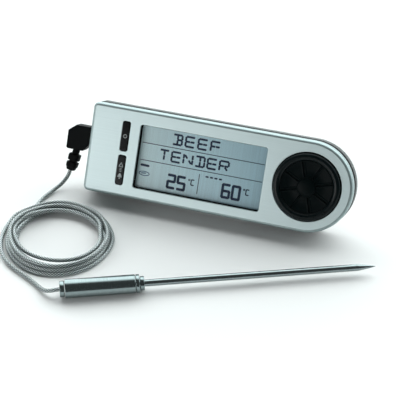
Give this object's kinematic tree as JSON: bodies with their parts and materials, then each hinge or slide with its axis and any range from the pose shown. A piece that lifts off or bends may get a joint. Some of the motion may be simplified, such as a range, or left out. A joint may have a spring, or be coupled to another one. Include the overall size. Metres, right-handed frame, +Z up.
{
  "type": "roasting thermometer",
  "caption": "Leaning digital roasting thermometer with steel front, selector dial, fold-out stand and a steel probe on a braided cord.",
  "frame": {"origin": "on the table, at the bottom centre of the box around the display unit and the probe", "axes": "+X along the display unit towards its dial, +Z up; the display faces -Y and leans back 30 degrees"},
  "size_m": [0.2463, 0.1463, 0.0624],
  "materials": {
    "brushed_steel": "fine brushed stainless steel",
    "polished_steel": "polished stainless steel",
    "braided_steel": "stainless wire braid over the lead",
    "black_plastic": "black moulded plastic, fine texture",
    "gloss_black": "gloss black plastic",
    "grey_plastic": "grey moulded plastic",
    "black_rubber": "soft black rubber",
    "clear_lens": "clear acrylic window",
    "display_glass": "blue-grey liquid crystal glass",
    "white_plastic": "white moulded plastic",
    "board_green": "green circuit board",
    "brass": "plated brass contacts",
    "cell_wrap": "printed-free cell sleeve"
  },
  "bodies": {
    "unit": {"front_cover": "brushed_steel", "inner_frame": "black_plastic", "rear_housing": "grey_plastic", "window_lens": "clear_lens", "lcd_panel": "display_glass", "lcd_backlight": "white_plastic", "zebra_strip_top": "black_rubber", "zebra_strip_bottom": "black_rubber", "main_board": "board_green", "controller_chip": "black_plastic", "buzzer": "black_plastic", "power_switch": "black_plastic", "signal_switch": "black_plastic", "button_pad": "black_rubber", "jack_socket": "black_plastic", "cell_1": "cell_wrap", "cell_2": "cell_wrap", "cell_spring_1": "polished_steel", "cell_spring_2": "polished_steel", "cell_contact_left": "polished_steel", "cell_contact_right": "polished_steel", "dial_glide_ring": "white_plastic", "encoder_body": "polished_steel", "stand_pin": "polished_steel", "magnet_left": "polished_steel", "magnet_right": "polished_steel", "foot_pad_left": "black_rubber", "foot_pad_right": "black_rubber", "rear_screw_1": "polished_steel", "rear_screw_2": "polished_steel", "rear_screw_3": "polished_steel", "rear_screw_4": "polished_steel"},
    "dial_shaft": {"encoder_shaft": "white_plastic"},
    "dial": {"dial_body": "gloss_black", "dial_insert": "black_rubber", "dial_hub": "gloss_black"},
    "power_key": {"power_button": "gloss_black"},
    "signal_key": {"signal_button": "gloss_black"},
    "stand_leg": {"stand": "grey_plastic", "stand_foot": "black_rubber"},
    "battery_cover": {"battery_door": "grey_plastic"},
    "probe_lead": {"plug_body": "black_plastic", "plug_sleeve": "brass", "plug_insulator": "black_plastic", "plug_tip": "brass", "strain_relief": "black_rubber", "cord_to_coil": "braided_steel", "cord_coil": "braided_steel", "cord_to_probe": "braided_steel"},
    "probe": {"probe_rear_cap": "polished_steel", "probe_handle": "brushed_steel", "probe_ring": "polished_steel", "probe_collar": "polished_steel", "probe_needle": "brushed_steel", "temperature_sensor": "gloss_black"}
  },
  "joints": [
    {"name": "dial_press", "type": "slide", "parent": "unit", "child": "dial_shaft", "axis": [0, 0.866, -0.5], "range_m": [0, 0.0006], "stiffness_N_per_m": 400, "springref_m": -0.002},
    {"name": "dial_turn", "type": "hinge", "parent": "dial_shaft", "child": "dial", "pos_m": [0.0496, 0.04, 0.03661], "axis": [0, -0.866, 0.5], "continuous": true},
    {"name": "power_press", "type": "slide", "parent": "unit", "child": "power_key", "axis": [0, 0.866, -0.5], "range_m": [0, 0.0005], "stiffness_N_per_m": 400, "springref_m": -0.002},
    {"name": "signal_press", "type": "slide", "parent": "unit", "child": "signal_key", "axis": [0, 0.866, -0.5], "range_m": [0, 0.0005], "stiffness_N_per_m": 400, "springref_m": -0.002},
    {"name": "stand_fold", "type": "hinge", "parent": "unit", "child": "stand_leg", "pos_m": [-0.0119, 0.05521, 0.02437], "axis": [1, 0, 0], "range_deg": [-55.5, 0]},
    {"name": "door_pull", "type": "slide", "parent": "unit", "child": "battery_cover", "axis": [0, 0.866, -0.5], "range_m": [0, 0.012]},
    {"name": "plug_pull", "type": "slide", "parent": "unit", "child": "probe_lead", "axis": [-1, 0, 0], "range_m": [0, 0.02]},
    {"name": "probe_swing", "type": "hinge", "parent": "probe_lead", "child": "probe", "pos_m": [-0.0834, -0.0693, 0.0061], "axis": [0, 0, 1], "range_deg": [-30, 3]}
  ]
}
